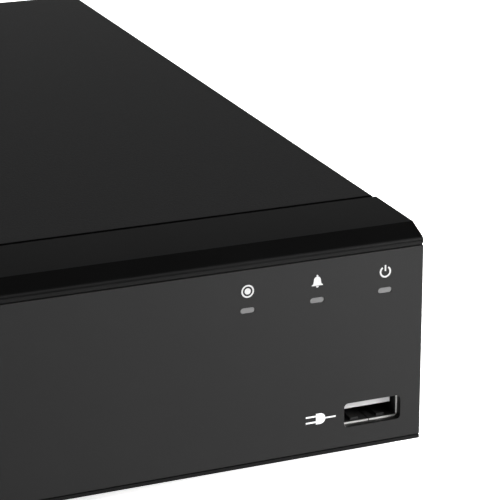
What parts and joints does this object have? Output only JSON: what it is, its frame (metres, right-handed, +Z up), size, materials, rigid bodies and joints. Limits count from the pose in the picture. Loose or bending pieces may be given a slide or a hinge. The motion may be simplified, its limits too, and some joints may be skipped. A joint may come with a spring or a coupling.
{
  "type": "video recorder",
  "caption": "Low desktop video recorder: steel case with slide-off cover, moulded front with light windows and a socket, rear sockets, fan and hard drive.",
  "frame": {"origin": "centre of the overall footprint, on the surface the feet stand on", "axes": "+X to the right seen from the front, +Y from the front to the rear sockets, +Z up"},
  "size_m": [0.26, 0.237, 0.0483],
  "materials": {
    "case_paint": "fine powder coat",
    "front_plastic": "satin moulded",
    "plate_plastic": "fine satin",
    "lens": "milky clear",
    "screw_steel": "zinc plated",
    "rubber": "matt",
    "board_green": "solder mask",
    "nickel": "nickel plated",
    "gold": "gold plated",
    "pale_plastic": "moulded",
    "black_plastic": "moulded",
    "blue_plastic": "moulded",
    "chip": "epoxy",
    "sink": "anodised",
    "can": "sleeved",
    "cell": "plain",
    "casting": "cast",
    "disc": "polished",
    "lead_jacket": "jacket",
    "ribbon": "jacket"
  },
  "bodies": {
    "recorder": {"base_chassis": "case_paint", "front_bezel": "front_plastic", "front_plate": "plate_plastic", "record_light_pipe": "lens", "alarm_light_pipe": "lens", "power_light_pipe": "lens", "rubber_feet": "rubber", "front_board": "board_green", "indicator_leds": "lens", "front_usb_shell": "nickel", "front_usb_tongue": "pale_plastic", "front_usb_contacts": "gold", "front_board_screws": "screw_steel", "front_ribbon_cable": "ribbon", "main_board": "board_green", "board_standoffs": "gold", "main_board_screws": "screw_steel", "processor": "chip", "heat_sink": "sink", "memory_chips": "chip", "capacitors": "can", "coin_cell_holder": "black_plastic", "coin_cell": "cell", "board_headers": "pale_plastic", "video_jack_shells": "nickel", "video_jack_insulators": "pale_plastic", "video_jack_contacts": "gold", "jack_blocks": "black_plastic", "audio_jack_shells": "nickel", "audio_jack_inserts": "pale_plastic", "monitor_jack_shell": "nickel", "monitor_jack_insert": "blue_plastic", "monitor_jack_posts": "nickel", "display_jack_shell": "nickel", "display_jack_tongue": "black_plastic", "network_jack_shell": "nickel", "network_jack_insert": "black_plastic", "network_jack_contacts": "gold", "rear_usb_shell": "nickel", "rear_usb_tongue": "pale_plastic", "rear_usb_contacts": "gold", "power_jack_housing": "black_plastic", "power_jack_pin": "nickel", "power_switch_housing": "black_plastic", "fan_frame": "black_plastic", "fan_screws": "screw_steel", "fan_lead": "lead_jacket", "ground_screw": "screw_steel", "drive_case": "casting", "drive_lid": "cell", "drive_board": "board_green", "drive_screws": "screw_steel", "drive_data_cable": "lead_jacket", "drive_power_cable": "lead_jacket"},
    "cover": {"top_cover": "case_paint", "cover_screws": "screw_steel"},
    "fan_wheel": {"fan_rotor": "black_plastic"},
    "rocker": {"power_rocker": "black_plastic"},
    "platter_stack": {"drive_platters": "disc"},
    "head_arm": {"drive_arm": "casting"}
  },
  "joints": [
    {"name": "cover_slide", "type": "slide", "parent": "recorder", "child": "cover", "axis": [0, 1, 0], "range_m": [0, 0.21]},
    {"name": "fan_spin", "type": "hinge", "parent": "recorder", "child": "fan_wheel", "pos_m": [-0.08, 0.0995, 0.0253], "axis": [0, 1, 0], "continuous": true},
    {"name": "rocker_tilt", "type": "hinge", "parent": "recorder", "child": "rocker", "pos_m": [-0.042, 0.1033, 0.025], "axis": [1, 0, 0], "range_deg": [-20, 0]},
    {"name": "platter_spin", "type": "hinge", "parent": "recorder", "child": "platter_stack", "pos_m": [-0.0752, -0.0373, 0.02], "axis": [0, 0, 1], "continuous": true},
    {"name": "head_swing", "type": "hinge", "parent": "recorder", "child": "head_arm", "pos_m": [-0.0492, 0.0285, 0.02], "axis": [0, 0, 1], "range_deg": [-18, 14]}
  ]
}
